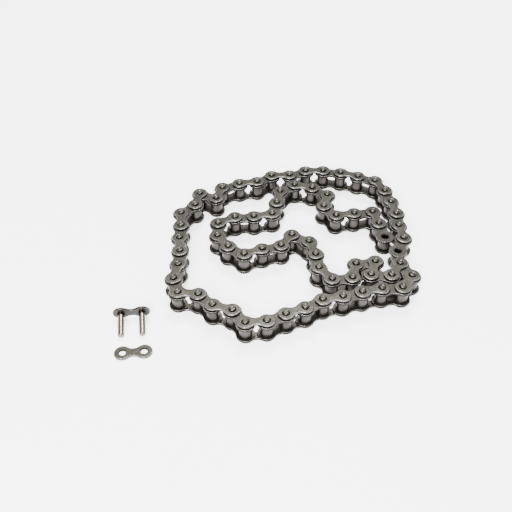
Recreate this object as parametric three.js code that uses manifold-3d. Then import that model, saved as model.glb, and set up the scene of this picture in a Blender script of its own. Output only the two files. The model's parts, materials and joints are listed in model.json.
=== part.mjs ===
// A half-inch pitch roller chain, opened and laid on its side, with its loose connecting link.
// Millimetres, +Z up. The pins stand along Z and their lower ends rest on Z = 0.

import * as THREE from "three";
import { mergeVertices } from "three/addons/utils/BufferGeometryUtils.js";
import loadManifold from "manifold-3d";

const { Manifold, Mesh: ManifoldMesh } = await (async () => {
  const library = await loadManifold();
  library.setup();
  return library;
})();

// Sizes of the chain
const pitch = 12.7;
const innerWidth = 7.85;
const plateThickness = 1.5;
const innerPlateHeight = 11.6;
const innerWaist = 7.8;
const outerPlateHeight = 10.0;
const outerWaist = 5.6;
const pinDiameter = 3.97;
const pinLength = 16.6;
const bushingDiameter = 5.6;
const rollerDiameter = 7.92;
const connectingPinLength = 17.8;
const connectingHeadStand = 0.4; // how far a connecting pin's head stands out of its plate

// Clearances
const linkGap = 0.08; // between an inner plate and the outer plate over it
const pinGap = 0.05; // round a pin in a bushing
const pressGap = 0.02; // round a pin or bushing in its plate
const rollerGap = 0.05; // round a bushing in its roller
const rollerEndGap = 0.12; // between a roller and each inner plate
const bushingEndGap = 0.04; // how far a bushing stops short of its plate's outer face
const floorGap = 0.02; // under the loose pieces

// Facets of the round stretches
const endArcSteps = 8;
const waistArcSteps = 2;
const pinSides = 8;
const rollerSides = 12;

// Heights above the floor
const middle = pinLength / 2;
const innerFace = innerWidth / 2;
const innerTop = innerFace + plateThickness;
const outerFace = innerTop + linkGap;
const outerTop = outerFace + plateThickness;

// The lay: each link's heading in degrees from +X, from the end inside the loop to the outer end.
// The first link is an inner one, and inner and outer links then take turns.
const headings = [
  102, 103, 188, 191, 127, 76, 142, 164, 215, 258, 255, 192, 184, 209, 270, 305, 324, 23, 15, 55, 329, 287,
  276, 307, 6, 75, 11, 252, 358, 58, 298, 235, 183, 194, 198, 192, 212, 203, 207, 186, 128, 160, 135, 173,
  106, 81, 89, 95, 89, 94, 45, 78, 335, 72, 21, 10, 34, 3, 23, 1, 349, 340, 337, 296, 283, 280, 269, 277, 246,
];

// Links that share one solid with the link after them, counted from 1
const joinedToNext = [3, 10, 12, 16, 18, 22, 34, 35, 37, 38, 46, 47, 49, 55, 61, 62, 65, 66];

// Where the loose pieces lie, in pitches from the first pin of the chain, and their headings in degrees
const connectingLinkPlace = new THREE.Vector2(-12.62, -4.77);
const connectingLinkHeading = 6;
const coverPlatePlace = new THREE.Vector2(-12.32, -6.94);
const coverPlateHeading = 6;

// Materials
function steel(name, color, roughness) {
  return new THREE.MeshStandardMaterial({ name, color, roughness, metalness: 1 });
}

const outerSteel = steel("outer_plate_steel", 0x5f5c57, 0.42);
const innerSteel = steel("inner_plate_steel", 0x57544f, 0.45);
const bushingSteel = steel("bushing_steel", 0x77736c, 0.38);
const rollerSteel = steel("roller_steel", 0x6b6862, 0.4);
const pinSteel = steel("polished_pin_steel", 0xa79c88, 0.25);
const linkPlateSteel = steel("connecting_plate_steel", 0x666a72, 0.35);

// Solids
function solidOf(geometry) {
  const bare = new THREE.BufferGeometry();
  bare.setAttribute("position", geometry.getAttribute("position"));
  bare.setIndex(geometry.getIndex());
  const merged = mergeVertices(bare, 1e-5);
  const mesh = new ManifoldMesh({
    numProp: 3,
    vertProperties: new Float32Array(merged.getAttribute("position").array),
    triVerts: new Uint32Array(merged.getIndex().array),
  });
  mesh.merge();
  return new Manifold(mesh);
}

function geometryOf(solid) {
  const mesh = solid.getMesh();
  const geometry = new THREE.BufferGeometry();
  geometry.setAttribute("position", new THREE.BufferAttribute(new Float32Array(mesh.vertProperties), 3));
  geometry.setIndex(new THREE.BufferAttribute(new Uint32Array(mesh.triVerts), 1));
  const flat = geometry.toNonIndexed();
  flat.computeVertexNormals();
  return flat;
}

function arc(centreX, centreY, radius, from, to, steps) {
  const points = [];
  for (let i = 0; i <= steps; i += 1) {
    const angle = from + ((to - from) * i) / steps;
    points.push(new THREE.Vector2(centreX + radius * Math.cos(angle), centreY + radius * Math.sin(angle)));
  }
  return points;
}

// A figure-eight outline round two pins on X, one at the origin and one a pitch away.
function plateOutline(height, waist) {
  const end = height / 2;
  const half = pitch / 2;
  const neck = waist / 2;
  const hollow = (half ** 2 + neck ** 2 - end ** 2) / (2 * (end - neck));
  const turn = Math.atan2(neck + hollow, -half);
  const lean = Math.atan2(half, neck + hollow);
  const up = Math.PI / 2;
  return [
    ...arc(pitch, 0, end, -turn, turn, endArcSteps),
    ...arc(half, neck + hollow, hollow, -up + lean, -up - lean, waistArcSteps).slice(1, -1),
    ...arc(0, 0, end, Math.PI - turn, Math.PI + turn, endArcSteps),
    ...arc(half, -neck - hollow, hollow, up + lean, up - lean, waistArcSteps).slice(1, -1),
  ];
}

// The outline of a round hole whose flats keep the stated radius clear.
function holeOutline(centreX, radius, sides) {
  const corner = radius / Math.cos(Math.PI / sides);
  return arc(centreX, 0, corner, 0, 2 * Math.PI, sides).slice(0, -1);
}

function extrude(outline, holes, bottom, top) {
  const shape = new THREE.Shape(outline);
  shape.holes = holes.map((hole) => new THREE.Path(hole));
  const geometry = new THREE.ExtrudeGeometry(shape, { depth: top - bottom, bevelEnabled: false });
  return geometry.translate(0, 0, bottom);
}

function plate(height, waist, holeRadius, sides, bottom) {
  const holes = holeRadius ? [0, pitch].map((x) => holeOutline(x, holeRadius, sides)) : [];
  return extrude(plateOutline(height, waist), holes, bottom, bottom + plateThickness);
}

function cylinder(x, radius, sides, bottom, top) {
  const outline = arc(x, 0, radius, 0, 2 * Math.PI, sides).slice(0, -1);
  return extrude(outline, [], bottom, top);
}

function tube(x, radius, boreRadius, sides, boreSides, bottom, top) {
  const outline = arc(x, 0, radius, 0, 2 * Math.PI, sides).slice(0, -1);
  return extrude(outline, [holeOutline(x, boreRadius, boreSides)], bottom, top);
}

const pinRadius = pinDiameter / 2;
const boreRadius = pinRadius + pinGap;

// Two outer plates with their riveted pins, as one solid.
function outerLinkSolid() {
  const pieces = [
    plate(outerPlateHeight, outerWaist, 0, 0, -outerTop),
    plate(outerPlateHeight, outerWaist, 0, 0, outerFace),
    cylinder(0, pinRadius, pinSides, -pinLength / 2, pinLength / 2),
    cylinder(pitch, pinRadius, pinSides, -pinLength / 2, pinLength / 2),
  ];
  return Manifold.union(pieces.map(solidOf));
}

// Two inner plates with their bushings and rollers, as one solid, bored through at the pins that turn.
function innerLinkSolid(boredAt) {
  const pieces = [
    plate(innerPlateHeight, innerWaist, 0, 0, -innerTop),
    plate(innerPlateHeight, innerWaist, 0, 0, innerFace),
    cylinder(0, rollerDiameter / 2, rollerSides, -innerFace, innerFace),
    cylinder(pitch, rollerDiameter / 2, rollerSides, -innerFace, innerFace),
  ];
  const bores = boredAt.map((x) => extrude(holeOutline(x, boreRadius, pinSides), [], -middle, middle));
  return Manifold.union(pieces.map(solidOf)).subtract(Manifold.union(bores.map(solidOf)));
}

// The pins' places, from the headings
const pinPlaces = [new THREE.Vector2(0, 0)];
for (const heading of headings) {
  const angle = THREE.MathUtils.degToRad(heading);
  const step = new THREE.Vector2(pitch * Math.cos(angle), pitch * Math.sin(angle));
  pinPlaces.push(pinPlaces.at(-1).clone().add(step));
}

const layGroup = new THREE.Group();

function linkGroup(index) {
  const group = new THREE.Group();
  group.position.set(pinPlaces[index].x, pinPlaces[index].y, middle);
  group.rotation.z = THREE.MathUtils.degToRad(headings[index]);
  layGroup.add(group);
  return group;
}

function addMesh(group, name, geometry, material) {
  const mesh = new THREE.Mesh(geometry, material);
  mesh.name = name;
  group.add(mesh);
  return mesh;
}

// The inner link at the open end, piece by piece
function addEndLink() {
  const group = linkGroup(0);
  const bushingRadius = bushingDiameter / 2;
  const seat = bushingRadius + pressGap;
  const lower = plate(innerPlateHeight, innerWaist, seat, rollerSides, -innerTop);
  const upper = plate(innerPlateHeight, innerWaist, seat, rollerSides, innerFace);
  addMesh(group, "end_inner_plate_lower", lower, innerSteel);
  addMesh(group, "end_inner_plate_upper", upper, innerSteel);
  [0, pitch].forEach((x, i) => {
    const reach = innerTop - bushingEndGap;
    const bushing = tube(x, bushingRadius, boreRadius, rollerSides, pinSides, -reach, reach);
    addMesh(group, `end_bushing_${i + 1}`, bushing, bushingSteel);
    const half = innerFace - rollerEndGap;
    const bore = bushingRadius + rollerGap;
    const roller = tube(x, rollerDiameter / 2, bore, rollerSides, rollerSides, -half, half);
    addMesh(group, `end_roller_${i + 1}`, roller, rollerSteel);
  });
}

function numbered(index) {
  return String(index + 1).padStart(2, "0");
}

// The solid of one link or of a run of links, in the frame of its first one
function runSolid(first, last) {
  const solids = [];
  for (let i = first; i <= last; i += 1) {
    const inner = i % 2 === 0;
    const boredAt = [];
    if (i === first) {
      boredAt.push(0);
    }
    if (i === last) {
      boredAt.push(pitch);
    }
    const place = pinPlaces[i].clone().sub(pinPlaces[first]);
    const back = THREE.MathUtils.degToRad(-headings[first]);
    place.rotateAround(new THREE.Vector2(0, 0), back);
    const solid = inner ? innerLinkSolid(boredAt) : outerLinkSolid();
    solids.push(solid.rotate([0, 0, headings[i] - headings[first]]).translate([place.x, place.y, 0]));
  }
  return solids.length > 1 ? Manifold.union(solids) : solids[0];
}

function addLinks() {
  let first = 1;
  while (first < headings.length) {
    let last = first;
    while (joinedToNext.includes(last + 1)) {
      last += 1;
    }
    const kind = first % 2 === 0 ? "inner" : "outer";
    const single = first === last;
    const name = single
      ? `${kind}_link_${numbered(first)}`
      : `link_run_${numbered(first)}_${numbered(last)}`;
    const geometry = geometryOf(runSolid(first, last));
    addMesh(linkGroup(first), name, geometry, kind === "inner" ? innerSteel : outerSteel);
    first = last + 1;
  }
}

// The pinned half of the connecting link: its plate stands on edge and its pins' tips touch the floor.
function addConnectingLink() {
  const drop = outerPlateHeight / 2 - pinRadius;
  const reach = connectingPinLength - plateThickness - connectingHeadStand;
  const tilt = Math.atan2(drop, reach);
  const group = new THREE.Group();
  const stand = (outerPlateHeight / 2) * Math.cos(tilt);
  group.position.set(connectingLinkPlace.x * pitch, connectingLinkPlace.y * pitch, stand + floorGap);
  group.rotation.set(Math.PI / 2 + tilt, 0, THREE.MathUtils.degToRad(connectingLinkHeading), "ZXY");
  const seat = pinRadius + pressGap;
  const link = new THREE.Group();
  link.position.set(-pitch / 2, 0, 0);
  group.add(link);
  const base = plate(outerPlateHeight, outerWaist, seat, pinSides, -plateThickness);
  addMesh(link, "connecting_plate", base, linkPlateSteel);
  [0, pitch].forEach((x, i) => {
    const head = -plateThickness - connectingHeadStand;
    const pin = cylinder(x, pinRadius, pinSides, head, head + connectingPinLength);
    addMesh(link, `connecting_pin_${i + 1}`, pin, pinSteel);
  });
  layGroup.add(group);
}

// The loose plate that closes the connecting link, lying flat
function addCoverPlate() {
  const group = new THREE.Group();
  group.position.set(coverPlatePlace.x * pitch, coverPlatePlace.y * pitch, floorGap);
  group.rotation.z = THREE.MathUtils.degToRad(coverPlateHeading);
  const flat = plate(outerPlateHeight, outerWaist, boreRadius, pinSides, 0).translate(-pitch / 2, 0, 0);
  addMesh(group, "cover_plate", flat, linkPlateSteel);
  layGroup.add(group);
}

addEndLink();
addLinks();
addConnectingLink();
addCoverPlate();

// The origin is the middle of the whole lay, on the floor.
const bounds = new THREE.Box3().setFromObject(layGroup, true);
const centre = bounds.getCenter(new THREE.Vector3());
layGroup.position.set(-centre.x, -centre.y, 0);

const chain = new THREE.Group();
chain.add(layGroup);
chain.updateMatrixWorld(true);

export default chain;
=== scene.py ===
import json
import math

import bmesh
import bpy
from mathutils import Matrix, Vector


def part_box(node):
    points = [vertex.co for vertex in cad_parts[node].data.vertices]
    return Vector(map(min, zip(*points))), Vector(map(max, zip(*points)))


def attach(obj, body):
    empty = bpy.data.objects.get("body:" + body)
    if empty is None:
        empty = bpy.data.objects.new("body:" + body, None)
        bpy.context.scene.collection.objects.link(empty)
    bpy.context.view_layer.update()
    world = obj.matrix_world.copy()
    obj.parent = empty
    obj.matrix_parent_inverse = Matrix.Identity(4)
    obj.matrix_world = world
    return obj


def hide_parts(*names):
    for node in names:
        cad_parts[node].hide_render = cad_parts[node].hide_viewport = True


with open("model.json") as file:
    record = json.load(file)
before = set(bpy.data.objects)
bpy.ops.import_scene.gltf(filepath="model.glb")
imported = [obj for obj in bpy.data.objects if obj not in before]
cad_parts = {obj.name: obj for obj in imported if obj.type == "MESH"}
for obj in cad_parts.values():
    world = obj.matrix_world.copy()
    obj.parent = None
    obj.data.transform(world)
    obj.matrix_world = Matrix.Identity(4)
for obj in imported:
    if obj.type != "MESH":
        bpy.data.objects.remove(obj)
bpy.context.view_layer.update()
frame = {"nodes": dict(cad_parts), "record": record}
nodes = frame["nodes"]
print("frame loaded with", len(nodes), "nodes")


reading = {
    "level": 0.00001,      # corners this close in height are on one face
    "near": 0.001,         # pins closer than this are the same pin
    "oneHead": 0.005,      # corners closer than this belong to one pin's head
    "neck": 0.0002,        # half the strip across a plate's waist that is measured
    "boreSides": 8,        # sides of a bushing's bore in the frame
}


def cornersOf(node):
    return [vertex.co.copy() for vertex in nodes[node].data.vertices]


def middleOf(node):
    low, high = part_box(node)
    return (low + high) / 2


def roundReach(node):
    centre = middleOf(node)
    return max((corner - centre).xy.length for corner in cornersOf(node))


def longWay(node):
    centre = middleOf(node)
    tip = max(cornersOf(node), key=lambda corner: (corner - centre).xy.length)
    way = (tip - centre).xy.normalized()
    return way if way.x > 0 else -way


def plateSizes(node):
    centre, way = middleOf(node), longWay(node)
    across = Vector((-way.y, way.x))
    offsets = [(corner - centre).xy for corner in cornersOf(node)]
    length = 2 * max(offset.dot(way) for offset in offsets)
    neckRim = [abs(offset.dot(across)) for offset in offsets if abs(offset.dot(way)) < reading["neck"]]
    return {"length": length, "waist": max(neckRim) * 2}


def pinTops(node):
    corners = cornersOf(node)
    top = max(corner.z for corner in corners)
    groups = []
    for corner in corners:
        if corner.z < top - reading["level"]:
            continue
        near = [group for group in groups if (group[0] - corner).xy.length < reading["oneHead"]]
        if near:
            near[0].append(corner)
        else:
            groups.append([corner])
    middles = []
    for group in groups:
        xs, ys = [corner.x for corner in group], [corner.y for corner in group]
        middles.append(Vector(((min(xs) + max(xs)) / 2, (min(ys) + max(ys)) / 2)))
    return middles


def linkNumbers(node):
    words = node.split("_")
    if words[0] == "link":
        return list(range(int(words[2]), int(words[3]) + 1))
    return [int(words[2])] if words[1:2] == ["link"] else []


linkNode = {number: node for node in nodes for number in linkNumbers(node)}
lastLink = max(linkNode)
pitch = (middleOf("end_bushing_2") - middleOf("end_bushing_1")).xy.length
innerLow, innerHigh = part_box("end_inner_plate_lower"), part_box("end_inner_plate_upper")
plateThick = innerHigh[1].z - innerHigh[0].z
chainMiddle = (innerLow[0].z + innerHigh[1].z) / 2
innerHalf = innerHigh[0].z - chainMiddle
pinHalf = chainMiddle
coverSizes, innerSizes = plateSizes("cover_plate"), plateSizes("end_inner_plate_upper")

pinPlaces = [middleOf("end_bushing_1").xy, middleOf("end_bushing_2").xy]
for number in range(2, lastLink + 1, 2):
    pins = sorted(pinTops(linkNode[number]), key=lambda pin: (pin - pinPlaces[-1]).length)
    if number > 2:
        pins = [pin for pin in pins if min((pin - done).length for done in pinPlaces) > reading["near"]]
        pinPlaces.append(pins[0])
    rest = [pin for pin in pins if (pin - pinPlaces[-1]).length > reading["near"]]
    pinPlaces.append(min(rest, key=lambda pin: abs((pin - pinPlaces[-1]).length - pitch)))
pinPlaces.append(2 * middleOf(linkNode[lastLink]).xy - pinPlaces[-1])
print("links:", lastLink, "pins and bores:", len(pinPlaces))


# Shader maths

class Wire:
    def __init__(self, finish, socket):
        self.finish = finish
        self.socket = socket

    def maths(self, operation, first, second):
        return self.finish.node("ShaderNodeMath", {"operation": operation}, {0: first, 1: second})

    def __add__(self, other):
        return self.maths("ADD", self, other)

    def __radd__(self, other):
        return self.maths("ADD", other, self)

    def __sub__(self, other):
        return self.maths("SUBTRACT", self, other)

    def __rsub__(self, other):
        return self.maths("SUBTRACT", other, self)

    def __mul__(self, other):
        return self.maths("MULTIPLY", self, other)

    def __rmul__(self, other):
        return self.maths("MULTIPLY", other, self)


class Finish:
    def __init__(self, name):
        self.material = bpy.data.materials.new(name)
        self.material.use_nodes = True
        self.nodes = self.material.node_tree.nodes
        self.links = self.material.node_tree.links
        self.shader = self.nodes["Principled BSDF"]
        self.place = self.node("ShaderNodeTexCoord", {}, {}, "Object")

    def node(self, kind, settings, sockets, output=0):
        made = self.nodes.new(kind)
        for key, value in settings.items():
            setattr(made, key, value)
        for key, value in sockets.items():
            self.feed(made.inputs[key], value)
        return Wire(self, made.outputs[output])

    def feed(self, socket, value):
        if isinstance(value, Wire):
            self.links.new(value.socket, socket)
        else:
            socket.default_value = value

    def noise(self, scale, detail=2.0, roughness=0.5, distortion=0.0, stretch=(1, 1, 1)):
        spot = self.place
        if stretch != (1, 1, 1):
            spot = self.node("ShaderNodeMapping", {}, {"Vector": self.place, "Scale": stretch})
        return self.node("ShaderNodeTexNoise", {}, {
            "Vector": spot, "Scale": scale, "Detail": detail,
            "Roughness": roughness, "Distortion": distortion,
        }, "Fac")

    def pick(self, value, low, high):
        return self.node("ShaderNodeMapRange", {"interpolation_type": "SMOOTHSTEP"}, {
            "Value": value, "From Min": low, "From Max": high, "To Min": 0.0, "To Max": 1.0,
        })

    def mix(self, factor, first, second):   # sockets 6 and 7 and output 2 are the colour ones
        return self.node("ShaderNodeMix", {"data_type": "RGBA"}, {0: factor, 6: first, 7: second}, 2)

    def bump(self, height, strength, distance):
        self.feed(self.shader.inputs["Normal"], self.node("ShaderNodeBump", {}, {
            "Height": height, "Strength": strength, "Distance": distance,
        }))

    def set(self, **values):
        for key, value in values.items():
            self.feed(self.shader.inputs[key.replace("_", " ")], value)
        return self.material


def shade(colour, factor):
    return (colour[0] * factor, colour[1] * factor, colour[2] * factor, 1)


steelPattern = {   # the same for every steel; a band is where a noise fades in
    "cloud": {"detail": 3.0, "roughness": 0.55},
    "film": {"detail": 4.0, "roughness": 0.6, "distortion": 0.6},
    "grain": {"detail": 3.0, "roughness": 0.7},
    "fleck": {"detail": 2.0, "roughness": 0.6},
    "cloudBand": (0.35, 0.68),
    "filmBand": (0.46, 0.66),
    "grainBand": (0.3, 0.7),
    "fleckBand": (0.62, 0.74),
    "darkCloud": 0.8,     # these four are multiples of the steel's own colour
    "lightCloud": 1.2,
    "grainShade": 0.45,
    "fleckShade": 2.2,
    "roughCloud": 0.22,   # how far the roughness follows the clouds
    "filmRelief": 0.4,    # height of the oil film against that of the grain
}


def steelFinish(look):
    finish = Finish(look["name"])
    cloud = finish.noise(look["cloudScale"], **steelPattern["cloud"])
    film = finish.noise(look["filmScale"], **steelPattern["film"])
    stretch = look.get("grainStretch", (1, 1, 1))
    grain = finish.noise(look["grainScale"], stretch=stretch, **steelPattern["grain"])
    speck = finish.noise(look["fleckScale"], **steelPattern["fleck"])

    cloudy = finish.pick(cloud, *steelPattern["cloudBand"])
    oily = finish.pick(film, *steelPattern["filmBand"])
    grainy = finish.pick(grain, *steelPattern["grainBand"])
    flecked = finish.pick(speck, *steelPattern["fleckBand"])

    base = look["colour"]
    dark, light = shade(base, steelPattern["darkCloud"]), shade(base, steelPattern["lightCloud"])
    colour = finish.mix(cloudy, dark, light)
    colour = finish.mix(oily * look["oil"], colour, shade(look["oilColour"], 1))
    colour = finish.mix(grainy * look["grain"], colour, shade(base, steelPattern["grainShade"]))
    colour = finish.mix(flecked * look["flecks"], colour, shade(base, steelPattern["fleckShade"]))

    clouded = (cloud - 0.5) * steelPattern["roughCloud"]
    rough = look["roughness"] + clouded + (grain - 0.5) * look["roughGrain"]
    finish.bump(grain + film * steelPattern["filmRelief"], look["bump"], look["bumpDepth"])
    return finish.set(Base_Color=colour, Roughness=rough, Metallic=look["metallic"])


looks = {
    "outer": {
        "name": "darkPlateSteel", "colour": (0.062, 0.06, 0.048), "oilColour": (0.027, 0.024, 0.017),
        "oil": 0.6, "cloudScale": 90.0, "filmScale": 320.0, "grainScale": 950.0, "grain": 0.85,
        "fleckScale": 800.0, "flecks": 0.55, "roughness": 0.4, "roughGrain": 0.25,
        "bump": 0.35, "bumpDepth": 0.00006, "metallic": 0.9,
    },
    "inner": {
        "name": "darkInnerSteel", "colour": (0.057, 0.054, 0.045), "oilColour": (0.025, 0.022, 0.016),
        "oil": 0.6, "cloudScale": 80.0, "filmScale": 300.0, "grainScale": 900.0, "grain": 0.85,
        "fleckScale": 760.0, "flecks": 0.55, "roughness": 0.44, "roughGrain": 0.25,
        "bump": 0.35, "bumpDepth": 0.00006, "metallic": 0.9,
    },
    # worn edge steel, made brighter than the plates as a painted highlight on the upper halves of the
    # rounded edges
    "rim": {
        "name": "wornRimPaintedSheenSteel", "colour": (0.18, 0.174, 0.158), "oilColour": (0.075, 0.068, 0.056),
        "oil": 0.6, "cloudScale": 160.0, "filmScale": 700.0, "grainScale": 3200.0, "grain": 0.45,
        "fleckScale": 1800.0, "flecks": 0.25, "roughness": 0.3, "roughGrain": 0.2,
        "bump": 0.25, "bumpDepth": 0.00005, "metallic": 1.0,
    },
    # painted shade: near-black steel for the sheared side walls, the lower halves of the rounded edges
    # and a ring round each hole
    "wall": {
        "name": "shearedEdgePaintedShadeSteel", "colour": (0.018, 0.016, 0.014), "oilColour": (0.01, 0.0085, 0.007),
        "oil": 0.5, "cloudScale": 140.0, "filmScale": 500.0, "grainScale": 1400.0, "grain": 0.4,
        "grainStretch": (1, 1, 0.2), "fleckScale": 1200.0, "flecks": 0.4, "roughness": 0.5,
        "roughGrain": 0.2, "bump": 0.3, "bumpDepth": 0.00005, "metallic": 0.9,
    },
    "roller": {
        "name": "rollerSteel", "colour": (0.06, 0.054, 0.05), "oilColour": (0.03, 0.025, 0.021),
        "oil": 0.45, "cloudScale": 110.0, "filmScale": 380.0, "grainScale": 900.0, "grain": 0.3,
        "grainStretch": (1, 1, 6), "fleckScale": 1700.0, "flecks": 0.2, "roughness": 0.36,
        "roughGrain": 0.2, "bump": 0.2, "bumpDepth": 0.00004, "metallic": 0.95,
    },
    # painted shade: the bushing is made very dark so the bores look black inside
    "bushing": {
        "name": "bushingPaintedShadeSteel", "colour": (0.03, 0.028, 0.026), "oilColour": (0.014, 0.012, 0.01),
        "oil": 0.4, "cloudScale": 120.0, "filmScale": 420.0, "grainScale": 1800.0, "grain": 0.3,
        "fleckScale": 1700.0, "flecks": 0.2, "roughness": 0.34, "roughGrain": 0.2,
        "bump": 0.2, "bumpDepth": 0.00004, "metallic": 0.95,
    },
    "pin": {
        "name": "rivetedPinSteel", "colour": (0.068, 0.064, 0.056), "oilColour": (0.075, 0.065, 0.049),
        "oil": 0.45, "cloudScale": 200.0, "filmScale": 600.0, "grainScale": 2600.0, "grain": 0.35,
        "fleckScale": 2000.0, "flecks": 0.3, "roughness": 0.3, "roughGrain": 0.25,
        "bump": 0.3, "bumpDepth": 0.00005, "metallic": 1.0,
    },
    "connectingPlate": {
        "name": "coolPlateSteel", "colour": (0.034, 0.032, 0.031), "oilColour": (0.02, 0.018, 0.017),
        "oil": 0.45, "cloudScale": 120.0, "filmScale": 360.0, "grainScale": 2600.0, "grain": 0.4,
        "fleckScale": 1600.0, "flecks": 0.25, "roughness": 0.34, "roughGrain": 0.2,
        "bump": 0.25, "bumpDepth": 0.00005, "metallic": 0.95,
    },
    "connectingPin": {
        "name": "polishedPinSteel", "colour": (0.22, 0.186, 0.138), "oilColour": (0.099, 0.081, 0.058),
        "oil": 0.4, "cloudScale": 260.0, "filmScale": 500.0, "grainScale": 900.0, "grain": 0.2,
        "grainStretch": (5, 1, 5), "fleckScale": 2000.0, "flecks": 0.15, "roughness": 0.2,
        "roughGrain": 0.12, "bump": 0.12, "bumpDepth": 0.00003, "metallic": 1.0,
    },
}
steels = {key: steelFinish(look) for key, look in looks.items()}
print("finishes made:", len(steels))


# Shapes, each made once in its own frame, round a plate's middle or along a pin's axis

weldGap = 0.000001   # corners closer than this become one
plateEdges = {
    "sharp": 1.0,      # an edge that turns by more radians than this is rounded
    "holeBand": 1.5,   # width of the painted shade ring round a hole, in widths of the rounded edge
    "upright": 0.1,    # a face whose normal rises less than this is part of the sheared wall, painted dark as shade
    "rim": 1,          # material slots: the rim one is partly worn steel, partly painted highlight; the wall one is painted shade
    "wall": 2,
}


def arcFrom(bm, start, centre, angle, steps):
    swept = bmesh.ops.spin(
        bm, geom=[start], cent=centre, axis=(0, 0, 1), dvec=(0, 0, 0), angle=angle,
        steps=steps, use_merge=False, use_duplicate=False,
    )
    return next(item for item in swept["geom_last"] if isinstance(item, bmesh.types.BMVert))


def plateShape(sizes, holeRadius, look):
    bm = bmesh.new()
    half = pitch / 2
    end = sizes["length"] / 2 - half
    neck = sizes["waist"] / 2
    hollow = (half ** 2 + neck ** 2 - end ** 2) / (2 * (end - neck))
    turn = math.atan2(neck + hollow, -half)
    lean = math.atan2(half, neck + hollow)

    tip = bm.verts.new((half + end, 0, 0))   # a quarter of the plate, mirrored twice
    shoulder = arcFrom(bm, tip, (half, 0, 0), turn, look["endSteps"])
    arcFrom(bm, shoulder, (0, neck + hollow, 0), -lean, look["waistSteps"])
    outline = list(bm.edges)
    rim = bm.verts.new((half + holeRadius, 0, 0))
    inside = arcFrom(bm, rim, (half, 0, 0), math.pi, look["endSteps"])
    step = (half - holeRadius) / look["waistSteps"]
    for _ in range(look["waistSteps"]):
        drawn = bmesh.ops.extrude_vert_indiv(bm, verts=[inside])
        inside = drawn["verts"][0]
        bmesh.ops.translate(bm, verts=[inside], vec=(-step, 0, 0))
    centreLine = [edge for edge in bm.edges if edge not in outline]
    bmesh.ops.bridge_loops(bm, edges=outline + centreLine)
    for axis in "YX":
        everything = bm.verts[:] + bm.edges[:] + bm.faces[:]
        bmesh.ops.mirror(bm, geom=everything, axis=axis, merge_dist=weldGap)
    bmesh.ops.remove_doubles(bm, verts=bm.verts[:], dist=weldGap)

    raised = bmesh.ops.extrude_face_region(bm, geom=bm.faces[:])
    lifted = [item for item in raised["geom"] if isinstance(item, bmesh.types.BMVert)]
    bmesh.ops.translate(bm, verts=lifted, vec=(0, 0, plateThick))
    bmesh.ops.recalc_face_normals(bm, faces=bm.faces[:])
    solid = [edge for edge in bm.edges if edge.is_manifold]
    corners = [edge for edge in solid if edge.calc_face_angle() > plateEdges["sharp"]]
    rounded = bmesh.ops.bevel(
        bm, geom=corners, offset=look["edge"], offset_type="OFFSET", segments=look["edgeSteps"],
        profile=0.5, affect="EDGES", material=-1, clamp_overlap=True,
    )

    bm.normal_update()
    # the lower half of each rounded edge and a ring round each hole take the wall steel as painted shade;
    # the upper halves take the rim steel as a painted highlight
    holeBand = holeRadius + look["edge"] * plateEdges["holeBand"]
    for face in rounded["faces"]:
        middle = face.calc_center_median()
        toHole = Vector((abs(middle.x) - half, middle.y)).length
        paintedShade = middle.z < plateThick / 2 or toHole < holeBand
        face.material_index = plateEdges["wall"] if paintedShade else plateEdges["rim"]
    for face in bm.faces:   # after the edges, because a bevel's middle facets can stand upright
        if abs(face.normal.z) < plateEdges["upright"]:
            face.material_index = plateEdges["wall"]
    return keepShape(bm, look["name"])


def spunShape(profile, steps, name, closed=False):
    bm = bmesh.new()
    points = [bm.verts.new((radius, 0, height)) for radius, height in profile]
    for first, second in zip(points, points[1:]):
        bm.edges.new((first, second))
    if closed:
        bm.edges.new((points[-1], points[0]))
    bmesh.ops.spin(
        bm, geom=bm.verts[:] + bm.edges[:], cent=(0, 0, 0), axis=(0, 0, 1), dvec=(0, 0, 0),
        angle=2 * math.pi, steps=steps, use_merge=True, use_duplicate=False,
    )
    bmesh.ops.remove_doubles(bm, verts=bm.verts[:], dist=weldGap / 2)
    bmesh.ops.recalc_face_normals(bm, faces=bm.faces[:])
    return keepShape(bm, name)


def keepShape(bm, name):
    shape = bpy.data.meshes.new(name)
    bm.to_mesh(shape)
    bm.free()
    return shape


def mirrored(upper):
    return [(radius, -height) for radius, height in reversed(upper)]


def ringShape(outer, inner, half, look, name):
    fillet, mouth = look["fillet"], look["mouth"]
    side, top = outer - fillet, half - fillet   # the middle of the fillet's arc
    upper = []
    for i in range(look["filletSteps"] + 1):
        angle = math.pi / 2 * i / look["filletSteps"]
        upper.append((side + fillet * math.cos(angle), top + fillet * math.sin(angle)))
    upper += [(inner + mouth, half), (inner, half - mouth)]
    return spunShape(upper + mirrored(upper), look["steps"], name, closed=True)


def pinShape(radius, half, look, name):
    flare, shoulder, dish = look["flare"], look["shoulder"], look["dish"]
    foot = half - look["rise"]
    upper = [(radius, foot), (radius + flare, foot + flare), (radius + flare, half - shoulder)]
    upper += [(radius * reach, half - shoulder * depth) for reach, depth in look["shoulderRings"]]
    upper += [(radius * look["crownReach"], half)]
    upper += [(radius * reach, half - dish * depth) for reach, depth in look["dishRings"]]
    upper += [(0, half - dish)]
    return spunShape(mirrored(upper) + upper, look["steps"], name)


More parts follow.
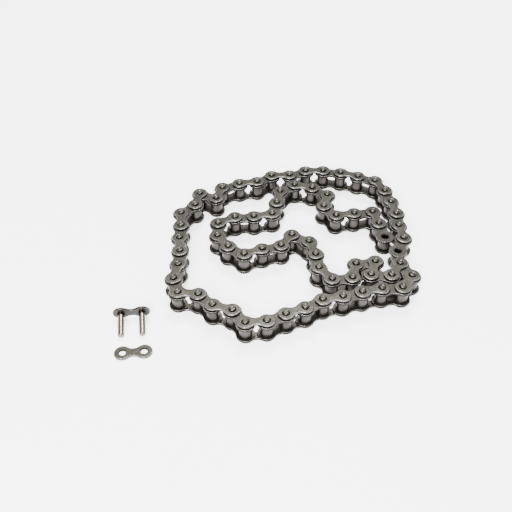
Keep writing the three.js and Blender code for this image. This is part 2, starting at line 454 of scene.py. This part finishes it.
plateLook = {
    "outer": {
        "name": "outerPlateShape", "endSteps": 13, "waistSteps": 4,
        "edge": 0.0005, "edgeSteps": 3,   # size of the rounded edge, and its facets
    },
    "inner": {
        "name": "innerPlateShape", "endSteps": 13, "waistSteps": 4,
        "edge": 0.0005, "edgeSteps": 3,
    },
    "cover": {
        "name": "coverPlateShape", "endSteps": 16, "waistSteps": 5,
        "edge": 0.00042, "edgeSteps": 3,
    },
}
pinLook = {
    "flare": 0.00012,      # how far the riveted head stands out past the pin
    "dish": 0.00026,       # depth of the hollow in the head
    "rise": 0.00118,       # from the flare's foot to the head's crown
    "shoulder": 0.00062,   # height of the rounded shoulder
    "shoulderRings": ((0.97, 0.5), (0.76, 0.14)),   # shares of the radius and of the shoulder
    "crownReach": 0.55,    # the crown's highest ring, as a share of the radius
    "dishRings": ((0.42, 0.25), (0.24, 0.85)),      # shares of the radius and of the dish
    "steps": 24,
    "boreGap": 0.00005,    # between the pin and its bushing
    "holeGap": 0.00004,    # between the pin and the outer plate's hole
    "plateGap": 0.00008,   # between the inner and the outer plate
}
rollerLook = {
    "fillet": 0.0004,
    "filletSteps": 3,
    "mouth": 0.0002,       # chamfer of the bore
    "boreGap": 0.00005,    # between the roller and its bushing
    "steps": 32,
}
bushingLook = {
    "fillet": 0.0002,
    "filletSteps": 2,
    "mouth": 0.00025,
    "seatGap": 0.00002,    # between the bushing and the inner plate's hole
    "steps": 28,
}

bushingRadius = roundReach("end_bushing_1")
rollerRadius = roundReach("end_roller_1")
boreRadius = min(
    (corner - middleOf("end_bushing_1")).xy.length for corner in cornersOf("end_bushing_1")
) * math.cos(math.pi / reading["boreSides"])
pinRadius = boreRadius - pinLook["boreGap"]
bushingBox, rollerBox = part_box("end_bushing_1"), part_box("end_roller_1")
bushingHalf = (bushingBox[1].z - bushingBox[0].z) / 2
rollerHalf = (rollerBox[1].z - rollerBox[0].z) / 2
rollerBore = bushingRadius + rollerLook["boreGap"]
outerFoot = innerHalf + plateThick + pinLook["plateGap"]

shapes = {
    "outer": plateShape(coverSizes, pinRadius + pinLook["holeGap"], plateLook["outer"]),
    "inner": plateShape(innerSizes, bushingRadius + bushingLook["seatGap"], plateLook["inner"]),
    "cover": plateShape(coverSizes, boreRadius, plateLook["cover"]),
    "pin": pinShape(pinRadius, pinHalf, pinLook, "rivetedPinShape"),
    "bushing": ringShape(bushingRadius, boreRadius, bushingHalf, bushingLook, "bushingShape"),
    "roller": ringShape(rollerRadius, rollerBore, rollerHalf, rollerLook, "rollerShape"),
}
print("shapes made:", {name: len(shape.polygons) for name, shape in shapes.items()})


def placePiece(name, parts, materials, body, node):
    bm = bmesh.new()
    for shape, matrix in parts:
        before = len(bm.verts)
        bm.from_mesh(shape)
        bm.verts.ensure_lookup_table()
        bmesh.ops.transform(bm, matrix=matrix, verts=bm.verts[before:])
    for face in bm.faces:
        face.smooth = True
    mesh = bpy.data.meshes.new(name)
    bm.to_mesh(mesh)
    bm.free()
    for material in materials:
        mesh.materials.append(material)
    piece = bpy.data.objects.new(name, mesh)
    bpy.context.scene.collection.objects.link(piece)
    weighted = piece.modifiers.new("evenShading", "WEIGHTED_NORMAL")
    weighted.keep_sharp = True
    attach(piece, body)
    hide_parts(node)


def plateSteels(face, edge="rim"):
    return [steels[face], steels[edge], steels["wall"]]


def bodyOf(node):
    bodies = frame["record"]["behaviour"]["bodies"]
    return next(body for body, members in bodies.items() if node in members)


def upright(place, height, turn=0.0):
    return Matrix.Translation((place.x, place.y, chainMiddle + height)) @ Matrix.Rotation(turn, 4, "Z")


def plateMatrix(first, second, height):
    way = second - first
    return upright((first + second) / 2, height, math.atan2(way.y, way.x))


def addInnerLink(number):
    first, second = pinPlaces[number - 1], pinPlaces[number]
    label = f"{number:02d}"
    low, high = -innerHalf - plateThick, innerHalf
    plates = [(shapes["inner"], plateMatrix(first, second, height)) for height in (low, high)]
    bushings = [(shapes["bushing"], upright(pin, 0)) for pin in (first, second)]
    rollers = [(shapes["roller"], upright(pin, 0)) for pin in (first, second)]
    if number == 1:
        for part, end in zip(plates, ("lower", "upper")):
            placePiece(f"innerPlate{end.title()}01", [part], plateSteels("inner"),
                       "end_inner_link", f"end_inner_plate_{end}")
        for i in (0, 1):
            placePiece(f"bushing01_{i + 1}", [bushings[i]], [steels["bushing"]],
                       "end_inner_link", f"end_bushing_{i + 1}")
            placePiece(f"roller01_{i + 1}", [rollers[i]], [steels["roller"]],
                       f"end_roller_{i + 1}", f"end_roller_{i + 1}")
        return
    node = linkNode[number]
    body = bodyOf(node)
    placePiece("innerPlates" + label, plates, plateSteels("inner"), body, node)
    placePiece("bushings" + label, bushings, [steels["bushing"]], body, node)
    placePiece("rollers" + label, rollers, [steels["roller"]], body, node)


def addOuterLink(number):
    first, second = pinPlaces[number - 1], pinPlaces[number]
    node = linkNode[number]
    body = bodyOf(node)
    label = f"{number:02d}"
    low, high = -outerFoot - plateThick, outerFoot
    plates = [(shapes["outer"], plateMatrix(first, second, height)) for height in (low, high)]
    pins = [(shapes["pin"], upright(pin, 0)) for pin in (first, second)]
    placePiece("outerPlates" + label, plates, plateSteels("outer"), body, node)
    placePiece("pins" + label, pins, [steels["pin"]], body, node)


for number in range(1, lastLink + 1):
    if number % 2:
        addInnerLink(number)
    else:
        addOuterLink(number)
print("chain links placed")


# The loose connecting link and its cover plate

connectingPinLook = {
    "backRings": ((0.7, 0.0), (0.95, 0.00015), (1.04, 0.0003)),   # share of the radius, height
    "collar": 1.04,          # radius of the pressed end against the pin's
    "collarSlope": 0.0001,
    "tipChamfer": 0.00045,
    "tipRings": ((0.0, 1.3), (0.35, 0.5), (1.0, 0.0)),   # inwards and below the tip, in chamfers
    "steps": 40,
}


def connectingPinShape(back, tip, name):
    look = connectingPinLook
    chamfer = look["tipChamfer"]
    profile = [(0, back)]
    profile += [(pinRadius * reach, back + rise) for reach, rise in look["backRings"]]
    profile += [(pinRadius * look["collar"], -plateThick), (pinRadius, -plateThick + look["collarSlope"])]
    for inward, below in look["tipRings"]:
        profile.append((pinRadius - chamfer * inward, tip - chamfer * below))
    profile.append((0, tip))
    return spunShape(profile, look["steps"], name)


def addConnectingLink():
    mounts = {mount["name"]: mount for mount in frame["record"]["mounts"]}
    face = mounts["connecting_plate_face"]
    along = Vector(face["axis"]).normalized()
    across = (middleOf("connecting_pin_2") - middleOf("connecting_pin_1")).normalized()
    up = along.cross(across)
    turn = Matrix((across, up, along)).transposed().to_4x4()
    stand = Matrix.Translation(Vector(face["pos_m"])) @ turn
    plate = (shapes["outer"], stand @ Matrix.Translation((0, 0, -plateThick)))
    placePiece("connectingPlate", [plate], plateSteels("connectingPlate", "pin"),
               "connecting_link", "connecting_plate")
    inward = stand.inverted()
    for i, side in ((1, -1), (2, 1)):
        heights = [(inward @ corner).z for corner in cornersOf(f"connecting_pin_{i}")]
        shape = connectingPinShape(min(heights), max(heights), f"connectingPinShape{i}")
        pin = (shape, stand @ Matrix.Translation((side * pitch / 2, 0, 0)))
        placePiece(f"connectingPin{i}", [pin], [steels["connectingPin"]],
                   "connecting_link", f"connecting_pin_{i}")


def addCoverPlate():
    centre, way = middleOf("cover_plate"), longWay("cover_plate")
    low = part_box("cover_plate")[0].z
    turn = Matrix.Rotation(math.atan2(way.y, way.x), 4, "Z")
    flat = Matrix.Translation((centre.x, centre.y, low)) @ turn
    placePiece("coverPlate", [(shapes["cover"], flat)], plateSteels("outer"),
               "cover_plate", "cover_plate")


addConnectingLink()
addCoverPlate()
print("connecting link placed")


# Floor, light and camera

studio = {
    "floorSize": 6.0,
    "floorColour": (0.9, 0.9, 0.92, 1),
    "floorPatch": (0.95, 0.95, 0.96, 1),   # the faint lighter patches
    "patchScale": 3.0,
    "patchBand": (0.3, 0.7),
    "floorRoughness": 0.7,
    "floorGlow": 2.6,
    "skyColour": (0.96, 0.97, 1.0, 1),
    "skyStrength": 1.35,
    "lamps": [
        {
            "name": "frontFill", "place": (-0.25, -0.95, 0.75), "aim": (0, 0, 0.01),
            "size": 0.6, "power": 46,
        },
        {
            "name": "overhead", "place": (0.05, 0.5, 1.1), "aim": (0, 0, 0),
            "size": 0.42, "power": 22,
        },
    ],
}


def addFloor():
    finish = Finish("paleFloor")
    patchy = finish.pick(finish.noise(studio["patchScale"]), *studio["patchBand"])
    tone = finish.mix(patchy, studio["floorColour"], studio["floorPatch"])
    material = finish.set(
        Base_Color=tone, Roughness=studio["floorRoughness"],
        Emission_Color=studio["floorColour"], Emission_Strength=studio["floorGlow"],
    )
    bm = bmesh.new()
    bmesh.ops.create_grid(bm, x_segments=1, y_segments=1, size=studio["floorSize"] / 2)
    mesh = bpy.data.meshes.new("floor")
    bm.to_mesh(mesh)
    bm.free()
    mesh.materials.append(material)
    floor = bpy.data.objects.new("floor", mesh)
    bpy.context.scene.collection.objects.link(floor)


def addLamp(lamp):
    data = bpy.data.lights.new(lamp["name"], "AREA")
    data.size = lamp["size"]
    data.energy = lamp["power"]
    light = bpy.data.objects.new(lamp["name"], data)
    place = Vector(lamp["place"])
    light.location = place
    light.rotation_euler = (Vector(lamp["aim"]) - place).to_track_quat("-Z", "Y").to_euler()
    bpy.context.scene.collection.objects.link(light)


def addSky():
    world = bpy.data.worlds.new("studioSky")
    world.use_nodes = True
    background = world.node_tree.nodes["Background"]
    background.inputs["Color"].default_value = studio["skyColour"]
    background.inputs["Strength"].default_value = studio["skyStrength"]
    bpy.context.scene.world = world


view = {
    "target": (-0.00785, 0.0045, 0.0),   # the point on the floor that the view is centred on
    "distance": 0.5276,
    "elevation": 42.64,
    "lens": 55.87,
    "sensor": 36,
}


def addCamera():
    data = bpy.data.cameras.new("camera")
    data.lens = view["lens"]
    data.sensor_width = view["sensor"]
    camera = bpy.data.objects.new("camera", data)
    tilt = math.radians(view["elevation"])
    target = Vector(view["target"])
    camera.location = target + view["distance"] * Vector((0, -math.cos(tilt), math.sin(tilt)))
    camera.rotation_euler = (math.pi / 2 - tilt, 0, 0)
    bpy.context.scene.collection.objects.link(camera)
    bpy.context.scene.camera = camera


addFloor()
for lamp in studio["lamps"]:
    addLamp(lamp)
addSky()
addCamera()
print("studio set")
